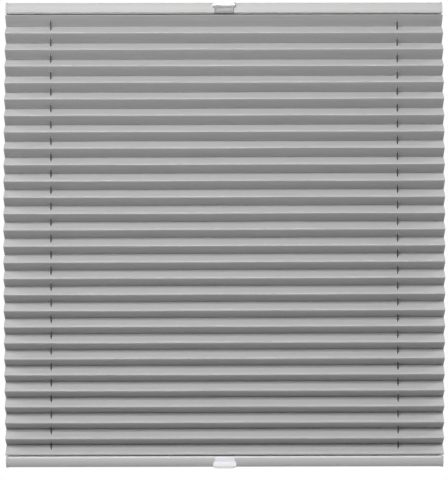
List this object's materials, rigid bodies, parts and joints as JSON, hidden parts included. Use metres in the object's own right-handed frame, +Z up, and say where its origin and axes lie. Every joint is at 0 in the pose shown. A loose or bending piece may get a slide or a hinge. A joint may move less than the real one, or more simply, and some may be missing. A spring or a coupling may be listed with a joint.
{
  "type": "pleated blind",
  "caption": "Pleated window blind: a concertina of grey cloth between two slim aluminium rails that slide on taut cords, each with a small clip-on handle.",
  "frame": {"origin": "middle of the upper rail's flat top face, between the two upper cord ends", "axes": "+X along the rails, -Y to the front (the room), +Z up"},
  "size_m": [0.452, 0.027, 0.4798],
  "materials": {
    "pleated_cloth": "crisp matt woven polyester, pleated",
    "rail_aluminium": "satin anodised",
    "cap_plastic": "satin",
    "handle_plastic": "clear, slightly milky, moulded",
    "cord_braid": "braided",
    "inner_plastic": "moulded"
  },
  "bodies": {
    "cords": {"left_cord": "cord_braid", "right_cord": "cord_braid", "upper_left_cord_stop": "inner_plastic", "upper_right_cord_stop": "inner_plastic", "lower_left_cord_stop": "inner_plastic", "lower_right_cord_stop": "inner_plastic", "pleated_fabric": "pleated_cloth"},
    "upper_rail": {"upper_rail": "rail_aluminium", "upper_left_end_cap": "cap_plastic", "upper_right_end_cap": "cap_plastic", "upper_fabric_strip": "inner_plastic", "upper_left_cord_guide": "inner_plastic", "upper_right_cord_guide": "inner_plastic", "upper_front_crossing_cord": "cord_braid", "upper_rear_crossing_cord": "cord_braid", "upper_handle": "handle_plastic"},
    "lower_rail": {"lower_rail": "rail_aluminium", "lower_left_end_cap": "cap_plastic", "lower_right_end_cap": "cap_plastic", "lower_fabric_strip": "inner_plastic", "lower_left_cord_guide": "inner_plastic", "lower_right_cord_guide": "inner_plastic", "lower_front_crossing_cord": "cord_braid", "lower_rear_crossing_cord": "cord_braid", "lower_handle": "handle_plastic"}
  },
  "joints": [
    {"name": "upper_rail_drop", "type": "slide", "parent": "cords", "child": "upper_rail", "axis": [0, 0, -1], "range_m": [0, 0.21], "deforming": ["pleated_fabric"]},
    {"name": "lower_rail_lift", "type": "slide", "parent": "cords", "child": "lower_rail", "axis": [0, 0, 1], "range_m": [0, 0.21], "deforming": ["pleated_fabric"]}
  ]
}
